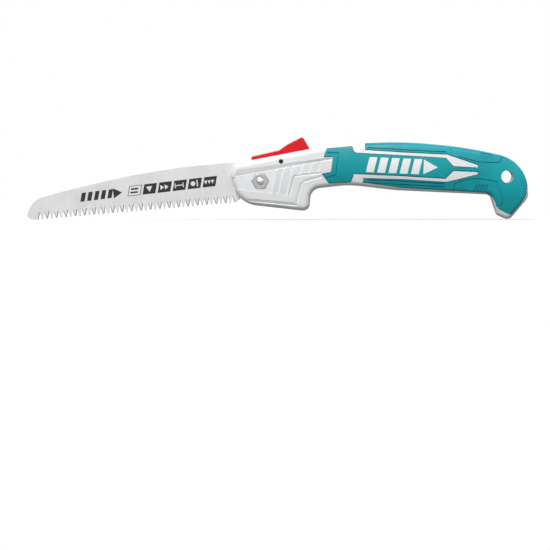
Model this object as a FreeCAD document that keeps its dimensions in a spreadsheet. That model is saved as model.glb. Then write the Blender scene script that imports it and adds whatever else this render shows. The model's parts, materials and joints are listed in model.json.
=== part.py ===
# Folding Japanese pull saw: toothed blade, two handle shells, soft grips and a thumb-operated blade lock.
# X runs from the blade tip (-X) to the butt (+X), Z is up (back of the blade), Y is across the handle.
# Sizes are measured from the blade pivot; every piece is then placed so the hanging hole is the origin.
import FreeCAD, Part
import math
import os
import Sketcher
from FreeCAD import Placement, Rotation, Vector

doc = FreeCAD.newDocument("FoldingSaw")
sheet = doc.addObject("Spreadsheet::Sheet", "Sizes")
SIZES = {
    "blade_reach": 180.0,
    "blade_thick": 1.2,
    "tooth_pitch": 3.63,
    "tooth_depth": 5.5,
    "tooth_lean": 28.0,
    "tang_radius": 12.5,
    "hole_along": 189.3,
    "hole_up": 3.5,
    "hole_radius": 4.85,
    "half_front": 10.2,
    "half_grip": 12.4,
    "half_butt": 11.2,
    "edge_round": 4.5,
    "slot_half": 1.0,
    "skin_floor": 7.0,
    "skin_wrap": 3.4,
    "seam_gap": 0.3,
    "bolt_radius": 3.0,
    "sleeve_radius": 4.0,
    "run_gap": 0.05,
    "sleeve_seat": 1.5,
    "washer_radius": 9.5,
    "head_radius": 5.6,
    "head_thick": 2.6,
    "pivot_floor": 5.4,
    "plate_thick": 0.8,
    "nut_flats": 11.4,
    "nut_pocket_gap": 0.2,
    "nut_thick": 3.7,
    "lever_half": 3.8,
    "lever_gap": 0.4,
    "lever_pin_x": 15.8,
    "lever_pin_z": 15.2,
    "lever_pin_radius": 1.75,
    "stop_pin_x": -10.5,
    "stop_pin_z": 13.8,
    "stop_pin_radius": 1.5,
    "stop_pin_half": 5.0,
    "pawl_half": 1.5,
    "pawl_hover": 0.3,
    "spring_floor": 17.2,
    "spring_top": 22.0,
    "spring_x": 31.0,
    "spring_radius": 2.1,
    "wire_radius": 0.3,
    "screw_radius": 1.5,
    "screw_head_radius": 2.8,
    "screw_head_thick": 2.0,
    "screw_reach": 5.4,
    "groove_depth": 0.7,
    "grip_ledge": 0.4,
}
for row, (alias, number) in enumerate(SIZES.items(), start=1):
    sheet.set(f"A{row}", alias)
    sheet.set(f"B{row}", str(number))
    sheet.setAlias(f"B{row}", alias)
doc.recompute()


def size(alias):
    return float(sheet.get(alias))


HOME = Placement(Vector(-size("hole_along"), 0, -size("hole_up")), Rotation())
made = []


def keep(obj, label):
    obj.Label = label
    made.append(obj)
    return obj


# ---- general helpers -------------------------------------------------------------------------------
def plane_of(body, role):
    return next(item for item in body.Origin.OriginFeatures if item.Role == role)


def bind(sketch, index, text):
    sketch.setExpression(f"Constraints[{index}]", text)


def fix_point(sketch, geo, across, up):
    for kind, axis, text in (("DistanceX", -2, across), ("DistanceY", -1, up)):
        if text == "0":
            sketch.addConstraint(Sketcher.Constraint("PointOnObject", geo, 1, axis))
            continue
        point = sketch.Geometry[geo].StartPoint
        start = point.x if kind == "DistanceX" else point.y
        index = sketch.addConstraint(Sketcher.Constraint(kind, -1, 1, geo, 1, start))
        bind(sketch, index, text)


def worked_out(text):
    names = {alias: size(alias) for alias in SIZES}
    total = 0.0
    for term in text.replace("- ", "+ -").split("+ "):
        product = 1.0
        for factor in term.strip().split(" * "):
            sign = -1.0 if factor.startswith("-") else 1.0
            factor = factor.strip("-")
            word = factor.replace("Sizes.", "")
            product = product * sign * (names[word] if word in names else float(word))
        total = total + product
    return total


def turned(label, rings):
    """A body of revolution about Y from (radius, distance along Y) corners given as sheet formulas."""
    body = doc.addObject("PartDesign::Body", label + "_body")
    sketch = body.newObject("Sketcher::SketchObject", label + "_profile")
    sketch.AttachmentSupport = (plane_of(body, "XY_Plane"), [""])
    sketch.MapMode = "FlatFace"
    corners = [Vector(worked_out(a), worked_out(b), 0) for a, b in rings]
    for index, corner in enumerate(corners):
        sketch.addGeometry(Part.LineSegment(corner, corners[(index + 1) % len(corners)]), False)
    for index in range(len(corners)):
        follow = (index + 1) % len(corners)
        sketch.addConstraint(Sketcher.Constraint("Coincident", index, 2, follow, 1))
    for index, (across, up) in enumerate(rings):
        fix_point(sketch, index, across, up)
    turn = body.newObject("PartDesign::Revolution", label + "_turn")
    turn.Profile = sketch
    turn.ReferenceAxis = (sketch, ["V_Axis"])
    turn.Angle = 360.0
    body.Tip = turn
    return body


def flat_wire(points):
    corners = [Vector(x, 0, z) for x, z in points]
    return Part.makePolygon(corners + [corners[0]])


def prism(shape, low, high):
    """Extrude a flat outline in the XZ plane between two distances along Y."""
    wire = shape if isinstance(shape, Part.Wire) else flat_wire(shape)
    face = Part.Face(wire)
    face.translate(Vector(0, low, 0))
    return face.extrude(Vector(0, high - low, 0))


def rod(x, z, radius, low, high):
    return Part.makeCylinder(radius, high - low, Vector(x, low, z), Vector(0, 1, 0))


def rounded(points):
    """A closed outline of straight runs with an arc at each corner (x, z, corner radius)."""
    arcs = []
    for index, (x, z, radius) in enumerate(points):
        corner = Vector(x, 0, z)
        before = Vector(points[index - 1][0], 0, points[index - 1][1])
        after = Vector(points[(index + 1) % len(points)][0], 0, points[(index + 1) % len(points)][1])
        if radius <= 0:
            arcs.append((corner, corner, corner))
            continue
        back = (before - corner).normalize()
        onward = (after - corner).normalize()
        half = back.getAngle(onward) / 2
        trim = radius / math.tan(half)
        centre = corner + (back + onward).normalize() * (radius / math.sin(half))
        middle = centre + (corner - centre).normalize() * radius
        arcs.append((corner + back * trim, middle, corner + onward * trim))
    edges = []
    for index, (start, middle, end) in enumerate(arcs):
        if (start - end).Length > 1e-6:
            edges.append(Part.Arc(start, middle, end).toShape())
        following = arcs[(index + 1) % len(arcs)][0]
        if (following - end).Length > 1e-6:
            edges.append(Part.makeLine(end, following))
    return Part.Wire(edges)


def stroke(points, width):
    """Round-ended bars along a run of points, as flat outlines."""
    bars = []
    for (x0, z0), (x1, z1) in zip(points, points[1:]):
        start = Vector(x0, 0, z0)
        end = Vector(x1, 0, z1)
        along = (end - start).normalize() * (width / 2)
        side = Vector(-along.z, 0, along.x)
        first = Part.Arc(start + side, start - along, start - side).toShape()
        second = Part.Arc(end - side, end + along, end + side).toShape()
        lower = Part.makeLine(start - side, end - side)
        upper = Part.makeLine(end + side, start + side)
        bars.append(Part.Wire([first, lower, second, upper]))
    return bars


def six_corners(radius):
    """The corners of a hexagon with two of them level."""
    turns = [math.radians(60 * corner) for corner in range(6)]
    return [(radius * math.cos(turn), radius * math.sin(turn)) for turn in turns]


def feature(label, shape):
    obj = doc.addObject("Part::Feature", label + "_shape")
    obj.Shape = shape
    obj.Placement = HOME
    return keep(obj, label)


def one_solid(shape):
    solids = shape.Solids
    return max(solids, key=lambda item: item.Volume)


# ---- blade -----------------------------------------------------------------------------------------
# Tapered pull-stroke blade: curved back, clipped nose, long three-facet teeth and a notched round tang.
stretch = size("blade_reach") / 180.0
blade_half = size("blade_thick") / 2
tang = size("tang_radius")
BACK = [
    (-170.4, -13.2), (-155.6, -8.9), (-140.5, -5.2), (-111.2, 1.8), (-80.5, 7.5), (-53.7, 11.4),
    (-37.3, 12.9),
]
back_line = [Vector(x * stretch, 0, z) for x, z in BACK] + [Vector(-20.3, 0, 14.4)]
back_curve = Part.BSplineCurve()
back_curve.interpolate(back_line)
tip = Vector(-179.6 * stretch, 0, -27.1)
heel = Vector(-19.0, 0, -16.35)
first_point = Vector(-174.4 * stretch, 0, -29.9)
toe = Vector(-177.4 * stretch, 0, -29.0)

# the open stop bears on a face square to the stop pin
stop_pin = Vector(size("stop_pin_x"), 0, size("stop_pin_z"))
outward = Vector(stop_pin.x, 0, stop_pin.z).normalize()
toward_blade = Vector(-outward.z, 0, outward.x)
stop_touch = stop_pin + toward_blade * (size("stop_pin_radius") + 0.15)
stop_outer = stop_touch + outward * 1.9
reach_down = stop_touch.dot(outward) - math.sqrt(tang ** 2 - stop_touch.dot(toward_blade) ** 2)
stop_inner = stop_touch - outward * reach_down
tang_tangent = Vector(0.2, 0, -math.sqrt(tang ** 2 - 0.04))
blade_edges = [
    back_curve.toShape(),
    Part.makeLine(back_line[-1], stop_outer),
    Part.makeLine(stop_outer, stop_inner),
    Part.Arc(stop_inner, Vector(tang, 0, 0), tang_tangent).toShape(),
    Part.makeLine(tang_tangent, Vector(-14.5, 0, -12.9)),
    Part.makeLine(Vector(-14.5, 0, -12.9), heel),
    Part.makeLine(heel, first_point),
    Part.makeLine(first_point, toe),
    Part.makeLine(toe, tip),
    Part.Arc(tip, Vector(-176.2 * stretch, 0, -18.2), back_line[0]).toShape(),
]
blade = prism(Part.Wire(blade_edges), -blade_half, blade_half)

# long narrow gullets, leaned alternately so neighbouring teeth are bevelled to opposite sides
row = (first_point - heel).normalize()
up = Vector(-row.z, 0, row.x)
if up.z < 0:
    up = up * -1
pitch = size("tooth_pitch")
gullet_count = int(((first_point - heel).Length - pitch * 0.3) / pitch)
lean = math.tan(math.radians(size("tooth_lean")))
tools = []
for index in range(gullet_count):
    centre = heel + row * (pitch * (index + 0.62))
    turn = lean if index % 2 else -lean
    corners = [(-1.9, -1.0), (1.9, -1.0), (0.2, size("tooth_depth")), (-0.2, size("tooth_depth"))]
    points = [centre + row * (a * pitch / 3.63) + up * b + Vector(0, -1.5, 0) for a, b in corners]
    points = [point - Vector(turn * 1.5, 0, 0) for point in points]
    face = Part.Face(Part.makePolygon(points + [points[0]]))
    tools.append(face.extrude(Vector(turn * 3.0, 3.0, 0)))
# the third grind: the very tip of every tooth is cut back across the blade
for index in range(gullet_count - 1):
    centre = heel + row * (pitch * (index + 1.12))
    side = 1 if index % 2 else -1
    half = blade_half * 1.4 * side
    shape = [(-half, -0.9), (half, -0.9), (half, 1.0)]
    points = [centre - row * 1.2 + up * b + Vector(0, a, 0) for a, b in shape]
    face = Part.Face(Part.makePolygon(points + [points[0]]))
    tools.append(face.extrude(row * 2.4))

# four catch notches in the tang: open, two part-folded and folded
LOCK_ANGLES = (0.0, 40.0, 109.0, 172.0)
NOTCH = [(-5.6, 13.4), (-5.0, 10.0), (-1.4, 10.8), (-0.8, 13.6)]
for angle in LOCK_ANGLES:
    notch = prism(NOTCH, -2, 2)
    notch.rotate(Vector(0, 0, 0), Vector(0, 1, 0), angle)
    tools.append(notch)
tools.append(rod(0, 0, size("sleeve_radius") + size("run_gap"), -2, 2))
feature("blade", one_solid(blade.cut(tools)))

# ---- handle envelope -------------------------------------------------------------------------------
# The pistol-grip outline of the whole handle, and the crowned cheek that closes it on each side.
OUTLINE = rounded([
    (58, 28.6, 150), (112, 30.3, 300), (158, 26.0, 300), (204, 15.7, 28), (205.6, -12.2, 8),
    (191.3, -30, 5), (181.4, -25.9, 5), (176.8, -10.3, 4.5), (104, -6.9, 120), (68.1, -2.7, 80),
    (38.9, -6.0, 8), (37.6, -23.2, 5.5), (-14.9, -17.3, 20), (-23.4, 3.0, 20), (-20.6, 13.6, 5),
])
HALF = [(-24, size("half_front") - 0.2), (30, size("half_front") + 0.3), (48, size("half_front") + 0.1),
        (110, size("half_grip")), (165, size("half_grip") - 0.8), (210, size("half_butt"))]
CROWN = [(-24, -1), (30, 0), (55, 12), (110, 11.5), (165, 7.5), (210, -4)]
BEND = [(-24, 200), (30, 200), (60, 48), (110, 48), (165, 60), (210, 90)]


def eased(x, table):
    for (x0, low), (x1, high) in zip(table, table[1:]):
        if x <= x1:
            part = max(0.0, (x - x0) / (x1 - x0))
            return low + (high - low) * part * part * (3 - 2 * part)
    return table[-1][1]


def side_y(x, z):
    """Where the crowned side lies on -Y above a point of the XZ plane."""
    return (z - eased(x, CROWN)) ** 2 / (2 * eased(x, BEND)) - eased(x, HALF)


def cheek(inset):
    """The crowned side surface on -Y, lowered by the inset."""
    rows = []
    for x in range(-40, 221, 10):
        rows.append([Vector(x, side_y(x, z) + inset, z) for z in range(-50, 51, 10)])
    surface = Part.BSplineSurface()
    surface.interpolate(rows)
    return surface.toShape()


def envelope(inset, corner):
    outline = OUTLINE.makeOffset2D(-inset) if inset else OUTLINE
    slab = prism(outline, -20, 0)
    body = one_solid(slab.common(cheek(inset).extrude(Vector(0, 60, 0))))
    crowned = [face for face in body.Faces if isinstance(face.Surface, Part.BSplineSurface)]
    side = max(crowned, key=lambda face: face.Area)
    return body.makeFillet(corner, side.OuterWire.Edges)


outer = envelope(0, size("edge_round"))
inner = envelope(size("groove_depth"), size("edge_round") - size("groove_depth"))

# ---- soft grip -------------------------------------------------------------------------------------
# One overmoulded skin per side: a front collar, a middle panel between two bare stripes, and top and
# bottom strips that join behind the stripe tips; it wraps over the back edge of the handle.
GRIP = [
    (50.9, 25.3), (70.6, 27.0), (71.5, 23.4), (73.3, 21.9), (107.5, 20.0), (142.3, 17.9), (147.9, 11.6),
    (166.5, 10.5), (166.5, 12.3), (143.3, 20.3), (107.5, 22.1), (80.3, 23.9), (79.8, 36), (170, 36),
    (215, 25), (215, -4.8), (204.1, -5.0), (203.7, -10.6), (199.4, -17.2), (190.9, -27.7), (189.2, -28.2),
    (183.0, -25.4), (181.2, -22.8), (179.9, -18.0), (178.6, -13.8), (176.4, -10.6), (172.4, -8.8),
    (143.3, -7.0), (122.9, -5.9), (108.4, -5.0), (81.4, -1.5), (78.5, -1.3), (78.7, 2.5), (107.5, 1.7),
    (141.3, -0.4), (143.6, -0.3), (166.5, 5.4), (166.5, 7.0), (147.9, 7.8), (141.6, 1.8), (107.5, 3.9),
    (71.7, 5.5), (69.5, -0.8), (52.5, -1.8), (46.8, 5.8), (54.1, 7.1), (55.7, 18.7), (48.4, 18.2),
]
WRAP = [
    (70, 26.2), (107, 26.4), (143, 23.6), (172, 19.0), (188.6, 13.4), (196.6, 5.0), (199.4, -3), (196.8, -10.6),
    (189.4, -20.6), (200, -40), (230, -40), (230, 50), (70, 50),
]
seam = size("seam_gap")
floor = size("skin_floor")
wrap = size("skin_wrap")
grip_wire = flat_wire(GRIP)
grip_small = grip_wire.makeOffset2D(-seam)
wrap_wire = flat_wire(WRAP)


def skin(outline, margin):
    """The space of one grip skin: deep over the side, shallower where it wraps over the handle's edge."""
    wrapped = wrap_wire.makeOffset2D(-margin) if margin else wrap_wire
    flat_part = prism(outline, -20, -floor)
    edge_part = prism(outline, -20, -wrap).common(prism(wrapped, -20, 0))
    return flat_part.fuse(edge_part)


cavity = skin(grip_wire, 0)
ledge = size("grip_ledge")
low_skin = envelope(ledge, size("edge_round") - ledge).common(skin(grip_small, seam))
high_skin = outer.common(skin(grip_wire.makeOffset2D(-seam - ledge), seam + ledge))
skin_left = one_solid(low_skin.fuse(high_skin))
hole_x = size("hole_along")
hole_z = size("hole_up")
hole_r = size("hole_radius")
skin_left = skin_left.cut(rod(hole_x, hole_z, hole_r, -20, 0))

# thumb notches, strip grooves and facet lines in the grip skin, and the moulded lines in the hard shell
grip_grooves = []
for index in range(5):
    grip_grooves += stroke([(170.2 + index * 1.9, 17.8), (169.3 + index * 1.9, 21.6 - index * 0.35)], 0.9)
    grip_grooves += stroke([(164.6 + index * 2.1, -6.6), (165.6 + index * 2.1, -2.9)], 0.9)
grip_grooves += stroke([(82.6, 25.5), (107.5, 23.9), (142.0, 22.1)], 1.3)
grip_grooves += stroke([(82.0, 1.0), (107.0, 0.2), (140.6, -1.9)], 1.0)
grip_grooves += stroke([(84.5, -0.9), (107.0, -2.4), (141.0, -4.2)], 0.8)
grip_grooves += stroke([(51.5, 21.8), (59.9, 22.1), (57.8, 4.7), (50.4, 3.2)], 0.6)
grip_grooves += stroke([(145.6, 25.0), (146.2, 23.6), (147.0, 21.4)], 0.9)
grip_grooves += stroke([(151.8, 18.9), (167.6, 14.7), (182.9, 14.2), (185.4, 18.6)], 0.55)
grip_grooves += stroke([
    (147.6, -6.6), (149.1, -1.4), (156.5, 1.1), (165.5, 2.2), (181.3, -0.1), (186.1, -15.9), (181.6, -21.6),
], 0.55)

# moulded creases of the hard shell: start, end, how far the long slope reaches at each end, and depth
CREASES = [
    ((-23.0, 2.9), (55.4, 16.9), (-0.9, 5.0), (-0.3, 1.6), 1.0),
    ((17.8, 11.4), (13.5, -9.8), (-4.2, 0), (-4.2, 0), 0.8),
    ((24.5, 12.4), (20.2, -10.6), (-5.4, 0), (-5.4, 0), 0.8),
    ((25.9, 3.4), (22.7, -10.9), (-1.6, 0), (-1.6, 0), 0.9),
    ((32.3, 13.7), (30.7, 5.2), (-5.2, 0), (-5.2, 0), 0.8),
    ((39.3, 14.9), (37.7, 6.3), (-5.2, 0), (-5.2, 0), 0.8),
    ((46.3, 16.0), (45.0, 7.4), (-5.2, 0), (-5.2, 0), 0.8),
    ((25.4, 3.6), (46.7, 6.1), (0, 1.4), (0, 1.4), 0.6),
    ((32.6, -0.9), (47.3, 3.1), (0, 2.2), (0, 2.2), 0.6),
    ((32.4, -1.0), (28.2, -16.9), (-2.6, 0), (-2.6, 0), 0.6),
    ((-11.2, -15.2), (28.2, -18.9), (0.2, 2.4), (0.2, 2.4), 1.1),
]
CREASE_WALL = 0.6
CREASE_STEPS = 4


def crease(start, end, first_slope, last_slope, depth):
    """A cutter with a steep wall on one side of a line and a long slope on the other."""
    sections = []
    for step in range(CREASE_STEPS + 1):
        share = step / CREASE_STEPS
        x = start[0] + (end[0] - start[0]) * share
        z = start[1] + (end[1] - start[1]) * share
        across = Vector(first_slope[0], 0, first_slope[1]) * (1 - share)
        across = across + Vector(last_slope[0], 0, last_slope[1]) * share
        high = Vector(x, 0, z) + across
        wall = Vector(x, 0, z) - across.normalize() * CREASE_WALL
        corners = [
            Vector(wall.x, -20, wall.z), Vector(wall.x, side_y(wall.x, wall.z) - 0.02, wall.z),
            Vector(x, side_y(x, z) + depth, z),
            Vector(high.x, side_y(high.x, high.z) - 0.02, high.z), Vector(high.x, -20, high.z),
        ]
        sections.append(Part.makePolygon(corners + corners[:1]))
    return Part.makeLoft(sections, True, True)


# the flat panel around the pivot nut lies one groove depth below the ribs and rails that frame it
NUT_PANEL = [(-30, 1.5), (11.6, 9.1), (9.2, -9.7), (-30, -4.9)]


def carve(shape, outlines):
    """Cuts outlines into the side, one groove depth deep."""
    for outline in outlines:
        shape = shape.cut(prism(outline, -20, 0).cut(inner))
    return shape


skin_left = one_solid(carve(skin_left, grip_grooves))

# ---- handle shells ---------------------------------------------------------------------------------
# Two hard shells meet on the middle plane above the blade slot and in the pommel.
slot = size("slot_half")
pin_x = size("lever_pin_x")
pin_z = size("lever_pin_z")
swing = math.sqrt(tip.x ** 2 + tip.z ** 2) + 1.2
start_up = 7.6
arc_start = Vector(math.sqrt(swing ** 2 - start_up ** 2), 0, start_up)
arc_end = Vector(math.sqrt(swing ** 2 - 40.0 ** 2), 0, -40.0)
arc_mid = Vector(math.sqrt(swing ** 2 - 15.0 ** 2), 0, -15.0)
slot_corners = [(arc_end.x, -60), (-60, -60), (-60, 50), (-8.0, 50), (-8.0, 13.6), (8, 13.6), (19, 15.6)]
slot_points = [Vector(x, 0, z) for x, z in slot_corners]
slot_edges = [Part.makeLine(a, b) for a, b in zip(slot_points, slot_points[1:])]
slot_edges.append(Part.makeLine(slot_points[-1], arc_start))
slot_edges.append(Part.Arc(arc_start, arc_mid, arc_end).toShape())
slot_edges.append(Part.makeLine(arc_end, slot_points[0]))
slot_wire = Part.Wire(slot_edges)
LEVER_WELL = [
    (-8.9, 50), (-8.9, 13.2), (3, 13.2), (9.0, 9.2), (20.2, 9.2), (22.4, 12.8), (25.6, size("spring_floor")),
    (35.6, size("spring_floor")), (36.4, 19.6), (40.2, 21.0), (40.2, 50),
]
SCREW_SPOTS = [(62.0, 21.2), (112.0, 15.5), (160.0, 14.0), (191.5, -12.5)]
well = size("lever_half") + size("lever_gap")
gap = size("run_gap")

shell_left = outer.cut(cavity)
shell_left = carve(shell_left, [flat_wire(NUT_PANEL)])
shell_left = shell_left.cut([crease(*line) for line in CREASES])
shell_left = shell_left.cut([
    prism(slot_wire, -slot, 1),
    prism(LEVER_WELL, -well, 1),
    prism([(-8.0, 20), (-8.0, 9.8), (1.0, 9.8), (1.0, 20)], -size("pawl_half") - 0.4, 1),
    rod(hole_x, hole_z, hole_r, -20, 1),
    rod(0, 0, size("bolt_radius") + gap, -20, 1),
    rod(0, 0, size("sleeve_radius") + gap, -slot - size("sleeve_seat"), 1),
    rod(pin_x, pin_z, size("lever_pin_radius") + gap, -20, 1),
    rod(stop_pin.x, stop_pin.z, size("stop_pin_radius") + gap, -size("stop_pin_half"), 1),
])
shell_blank = one_solid(shell_left)
mirror = (Vector(0, 0, 0), Vector(0, 1, 0))
shell_right = shell_blank.mirror(*mirror)

# the lever well also opens the outer edge above the lever foot, so the lever sits between the shells
TOP_CUT = [(-8.9, 16.75), (-7.0, 17.0), (37.8, 25.4), (40.2, 25.7), (40.2, 50), (-8.9, 50)]
top_cut = prism(TOP_CUT, -30, 30)
pocket_r = (size("nut_flats") + 2 * size("nut_pocket_gap")) / math.sqrt(3)
hexagon = six_corners(pocket_r)
deep = size("pivot_floor")
shell_left = shell_blank.cut([top_cut, prism(hexagon, -20, -deep)])
shell_right = shell_right.cut([top_cut, rod(0, 0, size("head_radius") + 0.3, deep, 20)])
screw_floor = 4.2
for x, z in SCREW_SPOTS:
    shell_left = shell_left.cut(rod(x, z, size("screw_radius") + gap, -size("screw_reach") - 0.4, 1))
    shell_right = shell_right.cut([
        rod(x, z, size("screw_radius") + gap, -1, 20),
        rod(x, z, size("screw_head_radius") + 0.3, screw_floor, 20),
    ])
feature("handle_shell_left", one_solid(shell_left))
feature("handle_shell_right", one_solid(shell_right))

skin_right = skin_left.mirror(*mirror)
for x, z in SCREW_SPOTS:
    skin_right = skin_right.cut(rod(x, z, size("screw_head_radius") + 0.6, 0, 20))
feature("grip_left", skin_left)
feature("grip_right", one_solid(skin_right))

# ---- thumb lever, pawl and spring ------------------------------------------------------------------
# A red rocker on a cross pin; its steel pawl drops into a tang notch and a small spring lifts the thumb pad.
lever_half = size("lever_half")
lever_wire = rounded([
    (-7.0, 19.0, 1.2), (14.6, 24.0, 6), (20.6, 28.3, 5), (32.4, 34.4, 2.2), (37.9, 25.0, 1.2),
    (36.2, 22.4, 0.8), (34.9, size("spring_top"), 0.4), (26.6, size("spring_top"), 2), (19.6, 12.6, 3.2),
    (12.0, 12.0, 3.2), (5.0, 15.4, 2), (-7.0, 15.9, 0.6),
])
lever = prism(lever_wire, -lever_half, lever_half)
lever_top = []
for edge in lever.Edges:
    middle = edge.CenterOfMass
    if abs(middle.y) > lever_half - 0.01 and middle.z > size("spring_floor") + 0.2:
        lever_top.append(edge)
lever = lever.makeFillet(0.9, lever_top)
PAWL = [
    (-5.8, 17.9), (-5.2, 14.9), (-4.6, 11.65), (-2.2, 12.35), (-1.6, 15.2), (5.0, 14.7), (11.4, 12.6),
    (18.4, 12.6), (18.4, 17.9),
]
hover = size("pawl_hover")
pawl_points = [(x, z + hover if z < 12.5 and x < 0 else z) for x, z in PAWL]
seat_half = size("pawl_half") + 0.1
seat = prism([(-6.2, 18.0), (-6.2, 5), (18.5, 5), (18.5, 18.0)], -seat_half, seat_half)
grooves = [rod(22.6 + k * 2.3, 30.25 + k * 1.18, 0.45, -5, 5) for k in range(4)]
lever = lever.cut([seat, rod(pin_x, pin_z, size("lever_pin_radius") + gap, -5, 5)] + grooves)
feature("thumb_lever", one_solid(lever))
pawl = prism(pawl_points, -size("pawl_half"), size("pawl_half"))
pawl = pawl.cut(rod(pin_x, pin_z, size("lever_pin_radius") + gap, -5, 5))
feature("lock_pawl", one_solid(pawl))

wire = size("wire_radius")
low = size("spring_floor") + wire + 0.02
high = size("spring_top") - wire - 0.02
turns = 4.5
coil_r = size("spring_radius")
coil_points = []
for step in range(int(turns * 16) + 1):
    around = 2 * math.pi * step / 16
    rise = low + (high - low) * step / int(turns * 16)
    coil_points.append(Vector(size("spring_x") + coil_r * math.cos(around), coil_r * math.sin(around), rise))
coil_line = Part.BSplineCurve()
coil_line.interpolate(coil_points)
start_way = coil_line.tangent(coil_line.FirstParameter)[0]
ring = Part.Wire([Part.makeCircle(wire, coil_points[0], start_way)])
coil = Part.Wire([coil_line.toShape()]).makePipeShell([ring], True, True)
feature("lever_spring", coil)

# ---- turned and pressed steel pieces ---------------------------------------------------------------
# Pivot stack across the handle, the lever pin, the open-stop pin and the thin blade washers.
keep(turned("pivot_sleeve", [
    ("Sizes.bolt_radius + Sizes.run_gap", "-1 * Sizes.slot_half - Sizes.sleeve_seat"),
    ("Sizes.sleeve_radius", "-1 * Sizes.slot_half - Sizes.sleeve_seat"),
    ("Sizes.sleeve_radius", "Sizes.slot_half + Sizes.sleeve_seat"),
    ("Sizes.bolt_radius + Sizes.run_gap", "Sizes.slot_half + Sizes.sleeve_seat"),
]), "pivot_sleeve")
for name, sign in (("left", "-1 * "), ("right", "")):
    keep(turned("blade_washer_" + name, [
        ("Sizes.sleeve_radius + Sizes.run_gap", sign + "0.5 * Sizes.blade_thick"),
        ("Sizes.washer_radius", sign + "0.5 * Sizes.blade_thick"),
        ("Sizes.washer_radius", sign + "Sizes.slot_half"),
        ("Sizes.sleeve_radius + Sizes.run_gap", sign + "Sizes.slot_half"),
    ]), "blade_washer_" + name)
keep(turned("bolt_washer", [
    ("Sizes.bolt_radius + Sizes.run_gap", "Sizes.pivot_floor"),
    ("Sizes.head_radius", "Sizes.pivot_floor"),
    ("Sizes.head_radius", "Sizes.pivot_floor + Sizes.plate_thick"),
    ("Sizes.bolt_radius + Sizes.run_gap", "Sizes.pivot_floor + Sizes.plate_thick"),
]), "bolt_washer")
keep(turned("pivot_bolt", [
    ("0", "-1 * Sizes.half_front - 0.8"),
    ("Sizes.bolt_radius - 1.6", "-1 * Sizes.half_front - 0.6"),
    ("Sizes.bolt_radius - 0.5", "-1 * Sizes.half_front"),
    ("Sizes.bolt_radius", "-1 * Sizes.half_front + 0.8"),
    ("Sizes.bolt_radius", "Sizes.pivot_floor + Sizes.plate_thick"),
    ("Sizes.head_radius - 0.4", "Sizes.pivot_floor + Sizes.plate_thick"),
    ("Sizes.head_radius - 0.4", "Sizes.pivot_floor + Sizes.plate_thick + 0.8"),
    ("Sizes.head_radius - 2.2", "Sizes.pivot_floor + Sizes.plate_thick + Sizes.head_thick"),
    ("0", "Sizes.pivot_floor + Sizes.plate_thick + Sizes.head_thick"),
]), "pivot_bolt")
keep(turned("lever_pin", [
    ("0", "-1 * Sizes.half_front + 0.5"),
    ("Sizes.lever_pin_radius - 0.3", "-1 * Sizes.half_front + 0.5"),
    ("Sizes.lever_pin_radius", "-1 * Sizes.half_front + 0.8"),
    ("Sizes.lever_pin_radius", "Sizes.half_front - 0.8"),
    ("Sizes.lever_pin_radius - 0.3", "Sizes.half_front - 0.5"),
    ("0", "Sizes.half_front - 0.5"),
]), "lever_pin")
keep(turned("stop_pin", [
    ("0", "-1 * Sizes.stop_pin_half"),
    ("Sizes.stop_pin_radius", "-1 * Sizes.stop_pin_half"),
    ("Sizes.stop_pin_radius", "Sizes.stop_pin_half"),
    ("0", "Sizes.stop_pin_half"),
]), "stop_pin")
doc.recompute()

# hex lock nut with chamfered corners, the steel plate under it and the nylon ring in its end
nut_r = size("nut_flats") / math.sqrt(3)
nut_hex = six_corners(nut_r)
plate_in = -deep - size("plate_thick")
plate = prism(nut_hex, plate_in, -deep).cut(rod(0, 0, size("bolt_radius") + gap, -20, 0))
feature("nut_plate", plate)
nut_out = plate_in - size("nut_thick")
nut = prism(nut_hex, nut_out, plate_in)
nut_chamfer = 1.0
chamfer_start = Vector(0, nut_out + nut_chamfer, 0)
straight_part = Part.makeCylinder(nut_r + 1, size("nut_thick") - nut_chamfer, chamfer_start, Vector(0, 1, 0))
chamfer_part = Part.makeCone(nut_r + 0.1, nut_r - 1.1, nut_chamfer, chamfer_start, Vector(0, -1, 0))
nut = nut.common(straight_part.fuse(chamfer_part))
ring_r = size("bolt_radius") + 1.1
nut = nut.cut([rod(0, 0, size("bolt_radius") + gap, -20, 0), rod(0, 0, ring_r + 0.05, -20, nut_out + 1.2)])
feature("pivot_nut", one_solid(nut))
lock_ring = rod(0, 0, ring_r, nut_out + 0.1, nut_out + 1.2).cut(rod(0, 0, size("bolt_radius") + gap, -20, 0))
feature("nut_lock_ring", lock_ring)

# four identical shell screws, driven from the right side
screws = []
head_top = screw_floor + size("screw_head_thick")
for x, z in SCREW_SPOTS:
    shank = rod(x, z, size("screw_radius"), -size("screw_reach"), screw_floor)
    head = rod(x, z, size("screw_head_radius"), screw_floor, head_top)
    rim = [edge for edge in head.Edges if edge.CenterOfMass.y > head_top - 0.01 and len(edge.Vertexes) == 1]
    head = head.makeFillet(0.7, rim)
    slot_a = Part.makeBox(3.4, 1.2, 0.8, Vector(x - 1.7, head_top - 1.2, z - 0.4))
    slot_b = Part.makeBox(0.8, 1.2, 3.4, Vector(x - 0.4, head_top - 1.2, z - 1.7))
    screws.append(shank.fuse(head).removeSplitter().cut([slot_a, slot_b]))
feature("shell_screws", Part.makeCompound(screws))

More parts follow.
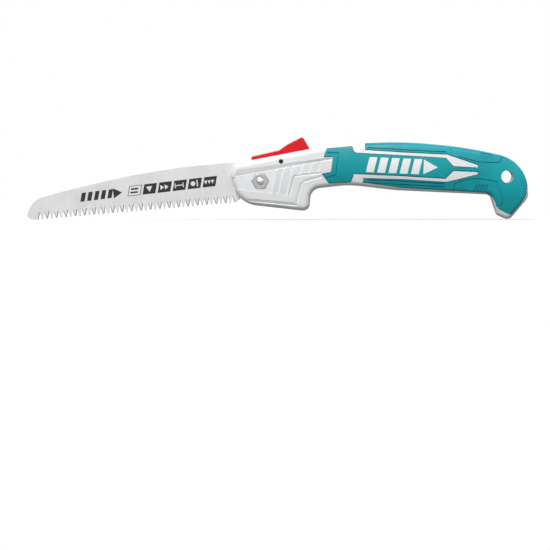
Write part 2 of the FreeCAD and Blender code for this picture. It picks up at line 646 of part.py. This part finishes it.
# ---- place, check and write ------------------------------------------------------------------------
for obj in made:
    if obj.TypeId == "PartDesign::Body":
        shift = Placement(HOME.Base, Rotation())
        if obj.Label == "lever_pin":
            shift.Base = HOME.Base + Vector(pin_x, 0, pin_z)
        if obj.Label == "stop_pin":
            shift.Base = HOME.Base + stop_pin
        obj.Placement = shift
doc.recompute()
os.makedirs("parts", exist_ok=True)
for obj in doc.Objects:
    if "Invalid" in obj.State or "Error" in obj.State:
        raise RuntimeError(f"{obj.Label} did not build: {obj.State}")
for obj in made:
    if obj.Shape.isNull() or not obj.Shape.isValid():
        raise RuntimeError(f"{obj.Label} has no valid shape")
    if not obj.Shape.Solids:
        raise RuntimeError(f"{obj.Label} has no solid")
    obj.Shape.exportStep(f"parts/{obj.Label}.step")
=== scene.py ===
# A folding Japanese pull saw, open: ground steel blade, pale hard shells, teal soft grip, red lock lever.
import json
import math

import bpy
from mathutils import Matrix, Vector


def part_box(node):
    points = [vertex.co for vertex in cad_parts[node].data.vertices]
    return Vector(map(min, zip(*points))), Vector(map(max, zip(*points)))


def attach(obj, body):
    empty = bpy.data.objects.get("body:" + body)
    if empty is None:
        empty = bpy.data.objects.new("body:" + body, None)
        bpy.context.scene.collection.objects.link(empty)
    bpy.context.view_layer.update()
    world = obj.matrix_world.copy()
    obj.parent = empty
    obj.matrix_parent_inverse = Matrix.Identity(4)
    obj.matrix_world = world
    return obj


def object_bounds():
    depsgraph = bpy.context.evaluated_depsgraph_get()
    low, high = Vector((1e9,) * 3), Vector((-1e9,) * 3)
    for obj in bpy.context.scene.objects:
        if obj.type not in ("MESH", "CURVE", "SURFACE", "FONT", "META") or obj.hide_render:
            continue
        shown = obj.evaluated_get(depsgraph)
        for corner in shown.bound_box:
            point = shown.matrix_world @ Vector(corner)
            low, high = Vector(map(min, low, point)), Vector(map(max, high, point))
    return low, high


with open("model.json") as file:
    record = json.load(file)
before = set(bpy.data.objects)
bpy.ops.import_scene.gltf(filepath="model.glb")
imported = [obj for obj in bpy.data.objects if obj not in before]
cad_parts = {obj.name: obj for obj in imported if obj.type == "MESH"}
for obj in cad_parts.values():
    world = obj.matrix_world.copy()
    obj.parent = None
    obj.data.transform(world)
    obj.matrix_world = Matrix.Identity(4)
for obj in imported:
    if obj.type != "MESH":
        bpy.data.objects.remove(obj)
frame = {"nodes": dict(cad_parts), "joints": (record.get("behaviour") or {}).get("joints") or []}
cad_box = [list(corner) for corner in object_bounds()]
nodes = frame["nodes"]
joints = {joint["name"]: joint for joint in frame["joints"]}


# ---- camera ----------------------------------------------------------------------------------------
# A long lens looks square on at the flat of the saw, level with it. The saw sits in the upper part
# of the view, so the lens is shifted down.
LENS_MM = 170.0
CAMERA_BACK = 2.0
VIEW_MIDDLE_X = -0.1781
SAW_MIDDLE_Z = -0.0016
LEVEL = math.pi / 2
bpy.ops.object.camera_add(location=(VIEW_MIDDLE_X, -CAMERA_BACK, SAW_MIDDLE_Z), rotation=(LEVEL, 0, 0))
camera = bpy.context.object
camera.data.lens = LENS_MM
camera.data.shift_y = -0.175
camera.data.clip_end = 20
bpy.context.scene.camera = camera
bpy.context.scene.view_settings.view_transform = "Standard"


# ---- floor and light -------------------------------------------------------------------------------
# A white card floor in a white room. A broad high lamp from the front left models the ribs of the
# handle, a long soft box overhead draws the bright line along its back, and less light comes from below.
def linear(code):
    """An sRGB hex colour as linear red, green, blue and alpha."""
    channels = [int(code[place:place + 2], 16) / 255 for place in (1, 3, 5)]
    return tuple(c / 12.92 if c <= 0.04045 else ((c + 0.055) / 1.055) ** 2.4 for c in channels) + (1.0,)


def add(tree, kind, sockets=None, options=None):
    """Adds a node, sets its options, and sets or links its sockets."""
    node = tree.nodes.new(kind)
    for name, value in (options or {}).items():
        setattr(node, name, value)
    for name, value in (sockets or {}).items():
        if isinstance(value, bpy.types.NodeSocket):
            tree.links.new(value, node.inputs[name])
        else:
            node.inputs[name].default_value = value
    return node


def new_material(name):
    """An empty node material and its tree."""
    material = bpy.data.materials.new(name)
    material.use_nodes = True
    material.node_tree.nodes.clear()
    return material, material.node_tree


def finish_material(tree, shader):
    add(tree, "ShaderNodeOutputMaterial", {"Surface": shader.outputs[0]})


FLOOR_SIZE = 6.0
bpy.ops.mesh.primitive_plane_add(size=FLOOR_SIZE, location=(VIEW_MIDDLE_X, 0, cad_box[0][2]))
floor = bpy.context.object
floor.name = "floor"
white_card, tree = new_material("matt_white_card")
seen = add(tree, "ShaderNodeLightPath")
card = add(tree, "ShaderNodeBsdfDiffuse", {"Color": linear("#fafafa")})
glow = add(tree, "ShaderNodeEmission", {"Color": linear("#ffffff"), "Strength": 1.0})
bright_card = add(tree, "ShaderNodeMixShader", {0: 0.6, 1: card.outputs[0], 2: glow.outputs[0]})
dim_card = add(tree, "ShaderNodeBsdfDiffuse", {"Color": linear("#8a8a8a")})
finish_material(tree, add(tree, "ShaderNodeMixShader", {
    0: seen.outputs["Is Camera Ray"], 1: dim_card.outputs[0], 2: bright_card.outputs[0]}))
floor.data.materials.append(white_card)

room = bpy.data.worlds.new("white_room")
bpy.context.scene.world = room
room.use_nodes = True
tree = room.node_tree
tree.nodes.clear()
seen = add(tree, "ShaderNodeLightPath")
place = add(tree, "ShaderNodeTexCoord")
height = add(tree, "ShaderNodeSeparateXYZ", {0: place.outputs["Generated"]})
lit = add(tree, "ShaderNodeMapRange", {
    "Value": height.outputs["Z"], "From Min": -1.0, "From Max": 1.0, "To Min": 0.07, "To Max": 0.48})
mirrored = add(tree, "ShaderNodeMapRange", {
    "Value": height.outputs["Z"], "From Min": -1.0, "From Max": 1.0, "To Min": 0.78, "To Max": 0.95})
lighting = add(tree, "ShaderNodeBackground", {"Strength": lit.outputs[0]})
reflected = add(tree, "ShaderNodeBackground", {"Strength": mirrored.outputs[0]})
backdrop = add(tree, "ShaderNodeBackground", {"Strength": 1.0})
for background in (lighting, reflected, backdrop):
    background.inputs["Color"].default_value = linear("#ffffff")
bounce = add(tree, "ShaderNodeMixShader", {
    0: seen.outputs["Is Glossy Ray"], 1: lighting.outputs[0], 2: reflected.outputs[0]})
blend = add(tree, "ShaderNodeMixShader", {
    0: seen.outputs["Is Camera Ray"], 1: bounce.outputs[0], 2: backdrop.outputs[0]})
add(tree, "ShaderNodeOutputWorld", {"Surface": blend.outputs[0]})

bpy.ops.object.light_add(type="SUN", location=(-1, -1, 2), rotation=(0.7, -0.32, 0))
high_lamp = bpy.context.object
high_lamp.data.energy = 2.95
high_lamp.data.angle = 0.3
bpy.ops.object.light_add(type="AREA", location=(-0.15, -0.35, 0.75), rotation=(0.43, 0, 0))
soft_box = bpy.context.object
soft_box.data.shape = "RECTANGLE"
soft_box.data.size = 1.2
soft_box.data.size_y = 0.2
soft_box.data.energy = 0.6


# ---- blade -----------------------------------------------------------------------------------------
# Hardened carbon spring steel, ground on both faces and along every tooth. The grinding lines run
# across the blade, half a millimetre apart here so that they show, and give a soft silky grey.
ground_steel, tree = new_material("ground_spring_steel")
place = add(tree, "ShaderNodeTexCoord")
across = add(tree, "ShaderNodeMapping", {
    "Vector": place.outputs["Object"], "Rotation": (0, 0.12, 0), "Scale": (1.0, 1.0, 0.035)})
grind = add(tree, "ShaderNodeTexNoise", {
    "Vector": across.outputs[0], "Scale": 1500.0, "Detail": 3.0, "Roughness": 0.6})
clouds = add(tree, "ShaderNodeTexNoise", {"Vector": place.outputs["Object"], "Scale": 45.0, "Detail": 2.0})
grey = add(tree, "ShaderNodeValToRGB", {"Fac": grind.outputs[0]})
grey.color_ramp.elements[0].position = 0.3
grey.color_ramp.elements[0].color = linear("#ececed")
grey.color_ramp.elements[1].position = 0.7
grey.color_ramp.elements[1].color = linear("#fbfbfb")
gloss = add(tree, "ShaderNodeMapRange", {"Value": clouds.outputs[0], "To Min": 0.34, "To Max": 0.5})
scratch = add(tree, "ShaderNodeBump", {"Height": grind.outputs[0], "Strength": 0.1, "Distance": 0.0001})
finish_material(tree, add(tree, "ShaderNodeBsdfPrincipled", {
    "Base Color": grey.outputs[0], "Metallic": 1.0, "Roughness": gloss.outputs[0],
    "Normal": scratch.outputs[0]}))


def dress(node, material):
    """Gives a CAD node its finish."""
    mesh = nodes[node].data
    if not mesh.materials:
        mesh.materials.append(material)
    for index in range(len(mesh.materials)):
        mesh.materials[index] = material


dress("blade", ground_steel)


# ---- blade print -----------------------------------------------------------------------------------
# Screen-printed on the near face in a film too thin to feel: slanted bars and an arrow for the pull
# stroke, then six slanted boxes with plain pictograms knocked out to the pale ground.
pivot = joints["blade_fold"]["pos_m"]
BLADE_FACE_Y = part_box("blade")[0].y
FILM = 0.00002
BAR, DISC, WEDGE = 4, 24, 3


def point(along, up):
    """A place on the side of the saw, in millimetres from the pivot."""
    return (pivot[0] + along / 1000, pivot[2] + up / 1000)


def mark(shape, wide, tall, middle, face_y, slope=0.0, lean=0.0, turn=0.0):
    """A flat upright mark facing the viewer: a bar, a disc or a wedge. Sizes are in millimetres."""
    bpy.ops.object.select_all(action="DESELECT")
    spot = (middle[0], face_y, middle[1])
    if shape == BAR:
        bpy.ops.mesh.primitive_plane_add(size=0.001, rotation=(LEVEL, 0, 0))
    else:
        bpy.ops.mesh.primitive_circle_add(
            vertices=shape, radius=0.0005, fill_type="NGON", rotation=(LEVEL, 0, 0))
    flat = bpy.context.object
    bpy.ops.object.transform_apply(location=False, rotation=True, scale=False)
    flat.rotation_euler = (0, turn, 0)
    bpy.ops.object.transform_apply(location=False, rotation=True, scale=False)
    flat.scale = (wide, 1, tall)
    bpy.ops.object.transform_apply(location=False, rotation=False, scale=True)
    if lean:
        bpy.ops.object.mode_set(mode="EDIT")
        bpy.ops.mesh.select_all(action="DESELECT")
        bpy.ops.object.mode_set(mode="OBJECT")
        for vertex in flat.data.vertices:
            vertex.select = vertex.co.z > 0
        bpy.ops.object.mode_set(mode="EDIT")
        bpy.ops.transform.translate(value=(lean / 1000, 0, 0))
        bpy.ops.object.mode_set(mode="OBJECT")
    flat.rotation_euler = (0, -slope, 0)
    flat.location = spot
    bpy.ops.object.transform_apply(location=True, rotation=True, scale=False)
    return flat


def gather(marks, name):
    """Joins flat marks into one named piece."""
    bpy.ops.object.select_all(action="DESELECT")
    for flat in marks:
        flat.select_set(True)
    bpy.context.view_layer.objects.active = marks[0]
    bpy.ops.object.join()
    whole = bpy.context.object
    whole.name = name
    whole.data.name = name
    return whole


def thicken(piece, thickness):
    """Gives a flat piece its thickness, towards the viewer and away from it alike."""
    bpy.context.view_layer.objects.active = piece
    solid = piece.modifiers.new("film", "SOLIDIFY")
    solid.thickness = thickness
    solid.offset = 0
    bpy.ops.object.modifier_apply(modifier="film")


def ink(name, dark, light, roughness):
    """Printing ink or pigmented plastic: even, with a faint mottle a third of a millimetre across."""
    material, tree = new_material(name)
    place = add(tree, "ShaderNodeTexCoord")
    mottle = add(tree, "ShaderNodeTexNoise", {
        "Vector": place.outputs["Object"], "Scale": 2200.0, "Detail": 2.0})
    tone = add(tree, "ShaderNodeValToRGB", {"Fac": mottle.outputs[0]})
    tone.color_ramp.elements[0].color = linear(dark)
    tone.color_ramp.elements[1].color = linear(light)
    finish_material(tree, add(tree, "ShaderNodeBsdfPrincipled", {
        "Base Color": tone.outputs[0], "Roughness": roughness, "IOR": 1.48}))
    return material


RIGHT_TURN, DOWN = LEVEL, math.pi
dark_y = BLADE_FACE_Y - FILM
pale_y = BLADE_FACE_Y - 2 * FILM
top_y = BLADE_FACE_Y - 3 * FILM

BARS_ALONG, BARS_UP = -137.5, -12.4
BAR_SLOPE = 0.126
BAR_STEP = 5.2
dark_marks = []
for bar in range(5):
    middle = point(BARS_ALONG + bar * BAR_STEP, BARS_UP + bar * BAR_STEP * BAR_SLOPE)
    dark_marks.append(mark(BAR, 3.3, 6.7, middle, dark_y, BAR_SLOPE, lean=2.1))
dark_marks.append(mark(WEDGE, 9.0, 9.0, point(-111.0, -9.1), dark_y, BAR_SLOPE, turn=RIGHT_TURN))

BOXES_ALONG, BOXES_UP = -97.85, -7.3
BOX_SLOPE = 0.118
BOX_STEP = 11.55
BOX_WIDE, BOX_TALL, BOX_LEAN = 9.85, 7.75, 2.25
boxes = [(BOXES_ALONG + index * BOX_STEP, BOXES_UP + index * BOX_STEP * BOX_SLOPE) for index in range(6)]


def in_box(index, along, up):
    """A place in one of the printed boxes, in millimetres from its middle."""
    return point(boxes[index][0] + along, boxes[index][1] + up + along * BOX_SLOPE)


for index in range(len(boxes)):
    dark_marks.append(mark(BAR, BOX_WIDE, BOX_TALL, in_box(index, 0, 0), dark_y, BOX_SLOPE, lean=BOX_LEAN))
# the first box is a thin frame with two bars, then a tooth, chevrons, a length, a guard and a tooth row
pale_marks = [mark(BAR, 8.9, 6.8, in_box(0, 0.13, 0), pale_y, BOX_SLOPE, lean=1.97)]
top_marks = [
    mark(BAR, 5.6, 1.3, in_box(0, 1.0, 1.3), top_y, BOX_SLOPE),
    mark(BAR, 5.6, 1.3, in_box(0, 0.6, -1.3), top_y, BOX_SLOPE),
]
pale_marks.append(mark(WEDGE, 5.6, 5.6, in_box(1, 0.7, 0.5), pale_y, BOX_SLOPE, turn=DOWN))
for along in (-1.3, 2.1):
    pale_marks.append(mark(WEDGE, 3.9, 4.6, in_box(2, along, 0), pale_y, BOX_SLOPE, turn=RIGHT_TURN))
pale_marks.append(mark(BAR, 6.2, 0.7, in_box(3, 0.6, 0), pale_y, BOX_SLOPE))
for along in (-2.5, 3.7):
    pale_marks.append(mark(BAR, 0.7, 3.6, in_box(3, along, 0), pale_y, BOX_SLOPE))
pale_marks.append(mark(DISC, 3.6, 3.6, in_box(4, -0.3, 0), pale_y, BOX_SLOPE))
pale_marks.append(mark(BAR, 0.9, 5.0, in_box(4, 3.0, 0), pale_y, BOX_SLOPE))
for along in (-2.0, 0.6, 3.2):
    pale_marks.append(mark(WEDGE, 2.8, 4.0, in_box(5, along, 0.2), pale_y, BOX_SLOPE, turn=DOWN))

black_ink = ink("screen_printed_black_ink", "#1d1d1d", "#2c2c2c", 0.42)
pale_ink = ink("screen_printed_pale_ink", "#dcdddd", "#e6e7e7", 0.45)
for marks, name, film_ink in (
    (dark_marks, "blade_print_boxes", black_ink), (pale_marks, "blade_print_pictograms", pale_ink),
    (top_marks, "blade_print_lines", black_ink),
):
    print_piece = gather(marks, name)
    thicken(print_piece, FILM)
    print_piece.data.materials.append(film_ink)
    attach(print_piece, "folding_blade")


# ---- blade washers ---------------------------------------------------------------------------------
# Two thin brass rings that keep the blade from rubbing on the shells, rolled sheet with a dull shine.
def metal(name, dark, light, roughness, grain):
    """A bare or plated metal: tone, gloss and fine pits follow one grain, given per metre."""
    material, tree = new_material(name)
    place = add(tree, "ShaderNodeTexCoord")
    speckle = add(tree, "ShaderNodeTexNoise", {
        "Vector": place.outputs["Object"], "Scale": grain, "Detail": 4.0})
    tone = add(tree, "ShaderNodeValToRGB", {"Fac": speckle.outputs[0]})
    tone.color_ramp.elements[0].position = 0.3
    tone.color_ramp.elements[0].color = linear(dark)
    tone.color_ramp.elements[1].position = 0.7
    tone.color_ramp.elements[1].color = linear(light)
    uneven = add(tree, "ShaderNodeMapRange", {
        "Value": speckle.outputs[0], "To Min": roughness - 0.06, "To Max": roughness + 0.08})
    pits = add(tree, "ShaderNodeBump", {"Height": speckle.outputs[0], "Strength": 0.1, "Distance": 0.00005})
    finish_material(tree, add(tree, "ShaderNodeBsdfPrincipled", {
        "Base Color": tone.outputs[0], "Metallic": 1.0, "Roughness": uneven.outputs[0],
        "Normal": pits.outputs[0]}))
    return material


rolled_brass = metal("rolled_brass", "#b98e3c", "#d8b35c", 0.3, 700.0)
dress("blade_washer_left", rolled_brass)
dress("blade_washer_right", rolled_brass)


# ---- pivot sleeve and stop pin ---------------------------------------------------------------------
# Turned steel: the sleeve that the blade swings on, and the short pin that stops it when open.
turned_steel = metal("turned_steel", "#a9abad", "#c9cbcc", 0.3, 1500.0)
dress("pivot_sleeve", turned_steel)
dress("stop_pin", turned_steel)


# ---- handle shells ---------------------------------------------------------------------------------
# Two glass-filled nylon mouldings in pale silver grey, screwed together. The mould is spark-textured,
# which leaves a fine even grain about 0.4 mm across and a satin shine with faint flow clouds.
shell_plastic, tree = new_material("moulded_silver_nylon")
place = add(tree, "ShaderNodeTexCoord")
grain = add(tree, "ShaderNodeTexNoise", {
    "Vector": place.outputs["Object"], "Scale": 2600.0, "Detail": 2.0, "Roughness": 0.5})
flow = add(tree, "ShaderNodeTexNoise", {"Vector": place.outputs["Object"], "Scale": 60.0, "Detail": 3.0})
tint = add(tree, "ShaderNodeValToRGB", {"Fac": flow.outputs[0]})
tint.color_ramp.elements[0].position = 0.35
tint.color_ramp.elements[0].color = linear("#dfe0e1")
tint.color_ramp.elements[1].position = 0.65
tint.color_ramp.elements[1].color = linear("#e5e6e7")
satin = add(tree, "ShaderNodeMapRange", {"Value": flow.outputs[0], "To Min": 0.32, "To Max": 0.42})
spark = add(tree, "ShaderNodeBump", {"Height": grain.outputs[0], "Strength": 0.12, "Distance": 0.00008})
finish_material(tree, add(tree, "ShaderNodeBsdfPrincipled", {
    "Base Color": tint.outputs[0], "Roughness": satin.outputs[0], "IOR": 1.5, "Normal": spark.outputs[0]}))
dress("handle_shell_left", shell_plastic)
dress("handle_shell_right", shell_plastic)


# ---- soft grips ------------------------------------------------------------------------------------
# Thermoplastic rubber moulded over the shells. Teal, with a low soft shine and a pebbled grain of about
# 0.7 mm that breaks up the highlight.
soft_rubber, tree = new_material("overmoulded_teal_rubber")
place = add(tree, "ShaderNodeTexCoord")
pebble = add(tree, "ShaderNodeTexVoronoi", {"Vector": place.outputs["Object"], "Scale": 1400.0})
shade = add(tree, "ShaderNodeTexNoise", {"Vector": place.outputs["Object"], "Scale": 38.0, "Detail": 3.0})
teal = add(tree, "ShaderNodeValToRGB", {"Fac": shade.outputs[0]})
teal.color_ramp.elements[0].position = 0.35
teal.color_ramp.elements[0].color = linear("#079099")
teal.color_ramp.elements[1].position = 0.65
teal.color_ramp.elements[1].color = linear("#0c9ea7")
worn = add(tree, "ShaderNodeMapRange", {"Value": shade.outputs[0], "To Min": 0.34, "To Max": 0.48})
pebbles = add(tree, "ShaderNodeBump", {"Height": pebble.outputs[0], "Strength": 0.18, "Distance": 0.0001})
finish_material(tree, add(tree, "ShaderNodeBsdfPrincipled", {
    "Base Color": teal.outputs[0], "Roughness": worn.outputs[0], "IOR": 1.5, "Specular IOR Level": 0.35,
    "Normal": pebbles.outputs[0]}))
dress("grip_left", soft_rubber)
dress("grip_right", soft_rubber)


# ---- grip emblem -----------------------------------------------------------------------------------
# Plain white bars and an arrow in the middle panel of the near grip: a white inlay pressed into the
# rubber that stands a hair proud of it and follows its crown.
EMBLEM_ALONG, EMBLEM_UP = 84.0, 12.7
EMBLEM_SLOPE = -0.042
EMBLEM_START_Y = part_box("grip_left")[0].y - 0.002
INLAY_PROUD = 0.00004
INLAY_THICK = 0.00008
BARS = 5
BAR_PITCH = 8.6
emblem_marks = []
for bar in range(BARS):
    middle = point(EMBLEM_ALONG + bar * BAR_PITCH, EMBLEM_UP + bar * BAR_PITCH * EMBLEM_SLOPE)
    emblem_marks.append(mark(BAR, 6.0, 11.6, middle, EMBLEM_START_Y, EMBLEM_SLOPE, lean=2.4))
arrow_along = EMBLEM_ALONG + BARS * BAR_PITCH + 1.6
arrow_up = EMBLEM_UP + (arrow_along - EMBLEM_ALONG) * EMBLEM_SLOPE
arrow_middle = point(arrow_along, arrow_up)
emblem_marks.append(mark(WEDGE, 14.5, 13.0, arrow_middle, EMBLEM_START_Y, EMBLEM_SLOPE, turn=RIGHT_TURN))
emblem = gather(emblem_marks, "grip_emblem")
bpy.ops.object.mode_set(mode="EDIT")
bpy.ops.mesh.select_all(action="SELECT")
bpy.ops.mesh.quads_convert_to_tris()
bpy.ops.mesh.subdivide(number_cuts=9)
bpy.ops.object.mode_set(mode="OBJECT")
hug = emblem.modifiers.new("hug", "SHRINKWRAP")
hug.target = nodes["grip_left"]
hug.wrap_method = "PROJECT"
hug.use_project_y = True
hug.use_positive_direction = True
hug.use_negative_direction = True
hug.wrap_mode = "ABOVE_SURFACE"
hug.offset = INLAY_PROUD
bpy.ops.object.modifier_apply(modifier="hug")
thicken(emblem, INLAY_THICK)
emblem.data.materials.append(ink("pressed_white_inlay", "#e6e7e7", "#f0f0f0", 0.4))
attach(emblem, "handle")


# ---- shell screws and lever pin --------------------------------------------------------------------
# Blackened steel: four cross-recessed screws driven from the far side, and the cross pin of the lever,
# whose dark end shows as a dot on each shell.
black_oxide = metal("black_oxide_steel", "#2a2a2b", "#474748", 0.42, 1200.0)
dress("shell_screws", black_oxide)
dress("lever_pin", black_oxide)


# ---- thumb lever -----------------------------------------------------------------------------------
# Red acetal moulding, its gloss and tone varying a little at random.
red_acetal, tree = new_material("moulded_red_acetal")
place = add(tree, "ShaderNodeTexCoord")
wear = add(tree, "ShaderNodeTexNoise", {"Vector": place.outputs["Object"], "Scale": 160.0, "Detail": 2.0})
red = add(tree, "ShaderNodeValToRGB", {"Fac": wear.outputs[0]})
red.color_ramp.elements[0].position = 0.3
red.color_ramp.elements[0].color = linear("#cf0f1c")
red.color_ramp.elements[1].position = 0.7
red.color_ramp.elements[1].color = linear("#d61521")
polish = add(tree, "ShaderNodeMapRange", {"Value": wear.outputs[0], "To Min": 0.28, "To Max": 0.38})
finish_material(tree, add(tree, "ShaderNodeBsdfPrincipled", {
    "Base Color": red.outputs[0], "Roughness": polish.outputs[0], "IOR": 1.48, "Specular IOR Level": 0.4}))
dress("thumb_lever", red_acetal)


# ---- lock pawl and lever spring --------------------------------------------------------------------
# The pawl is a small hardened plate, plain and slightly dark; the spring is drawn wire with a clean shine.
hardened_plate = metal("hardened_steel_plate", "#7f8082", "#9b9c9e", 0.38, 1300.0)
drawn_wire = metal("drawn_spring_wire", "#a3a5a7", "#c6c8c9", 0.26, 1800.0)
dress("lock_pawl", hardened_plate)
dress("lever_spring", drawn_wire)


# ---- pivot bolt, nut and plates --------------------------------------------------------------------
# Zinc-plated steel with a bright, slightly cloudy skin. The bolt's domed end shows in the middle of the
# hexagon nut, in a paler copy of the same zinc that is a painted highlight;
# a plate lies under the nut and a washer under the head on the far side.
bright_zinc = metal("bright_zinc_plate", "#c3c5c7", "#e3e4e5", 0.34, 900.0)
# painted highlight: the same zinc made near-white for the bolt's domed end only
highlit_dome_zinc = metal("zinc_dome_painted_highlight", "#eeeeef", "#fbfbfb", 0.3, 900.0)
for node in ("pivot_nut", "nut_plate", "bolt_washer"):
    dress(node, bright_zinc)
dress("pivot_bolt", highlit_dome_zinc)


# ---- nut lock ring ---------------------------------------------------------------------------------
# The natural nylon ring pressed into the end of the nut, which grips the thread.
natural_nylon, tree = new_material("natural_nylon")
place = add(tree, "ShaderNodeTexCoord")
haze = add(tree, "ShaderNodeTexNoise", {"Vector": place.outputs["Object"], "Scale": 600.0, "Detail": 2.0})
milky = add(tree, "ShaderNodeValToRGB", {"Fac": haze.outputs[0]})
milky.color_ramp.elements[0].color = linear("#b4b5b5")
milky.color_ramp.elements[1].color = linear("#c4c5c4")
finish_material(tree, add(tree, "ShaderNodeBsdfPrincipled", {
    "Base Color": milky.outputs[0], "Roughness": 0.5, "IOR": 1.53}))
dress("nut_lock_ring", natural_nylon)
